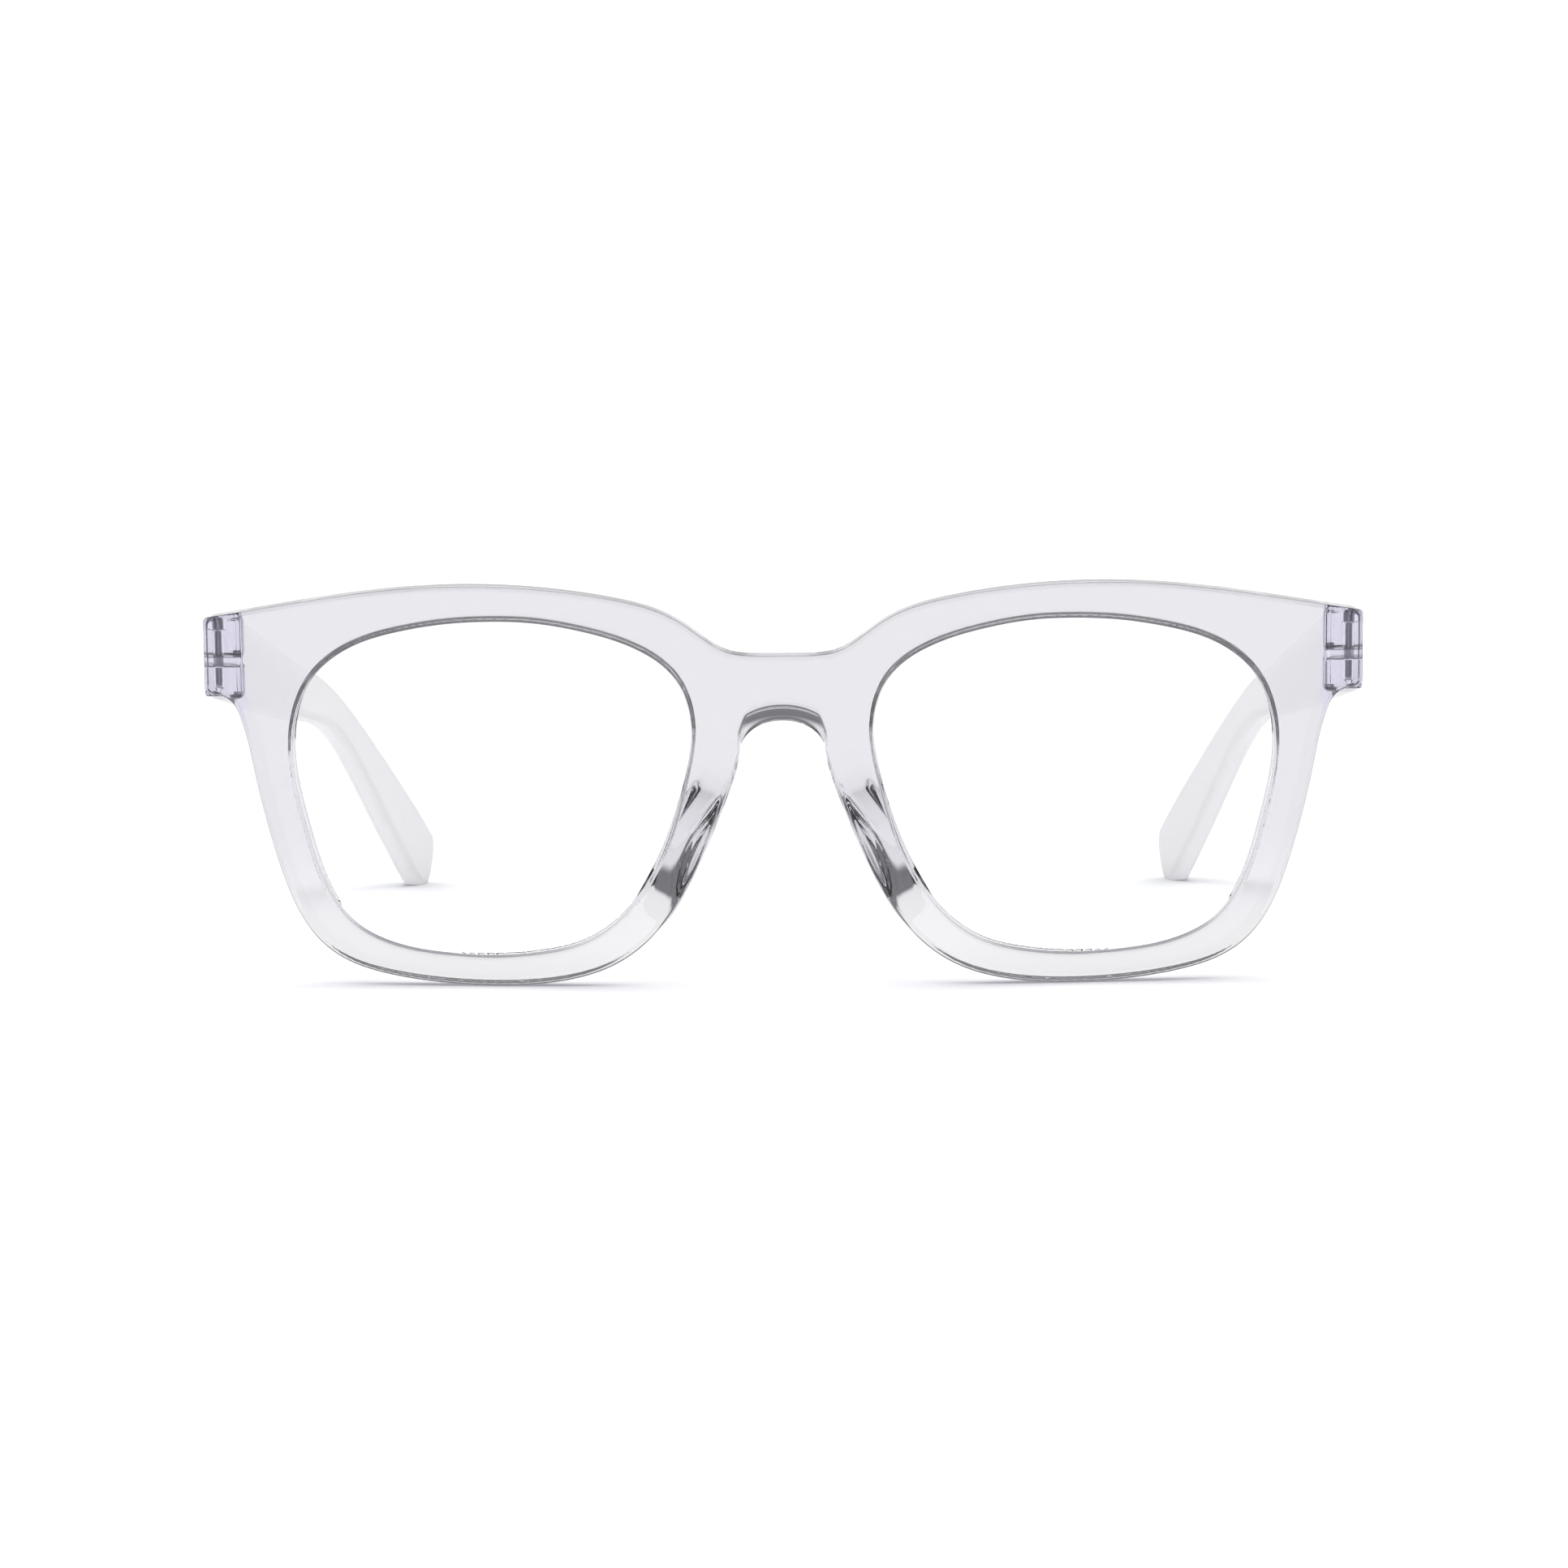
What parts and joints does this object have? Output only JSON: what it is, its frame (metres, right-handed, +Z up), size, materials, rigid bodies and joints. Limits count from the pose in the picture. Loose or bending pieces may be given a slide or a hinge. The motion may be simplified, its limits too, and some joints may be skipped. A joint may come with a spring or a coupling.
{
  "type": "spectacles",
  "caption": "Clear moulded spectacles with light-filtering lenses in grooved rims and side arms that fold on plastic hinges with steel screws.",
  "frame": {"origin": "on the resting plane, on the centre line, midway between the forward face and the arm tips", "axes": "+X towards the wearer's left, +Y rearward along the open side arms, +Z up"},
  "size_m": [0.142, 0.1552, 0.0489],
  "materials": {
    "clear_plastic": "glossy transparent moulded plastic, faint lavender tint",
    "lens": "clear polished lens",
    "screw_steel": "bright steel"
  },
  "bodies": {
    "front": {"front_frame": "clear_plastic", "lens_left": "lens", "lens_right": "lens", "hinge_screw_left": "screw_steel", "hinge_screw_right": "screw_steel"},
    "left_arm": {"temple_left": "clear_plastic"},
    "right_arm": {"temple_right": "clear_plastic"}
  },
  "joints": [
    {"name": "left_arm_fold", "type": "hinge", "parent": "front", "child": "left_arm", "pos_m": [0.06845, -0.06234, 0.03965], "axis": [0, -0.0872, 0.9962], "range_deg": [0, 86]},
    {"name": "right_arm_fold", "type": "hinge", "parent": "front", "child": "right_arm", "pos_m": [-0.06845, -0.06234, 0.03965], "axis": [0, 0.0872, -0.9962], "range_deg": [0, 78]}
  ]
}
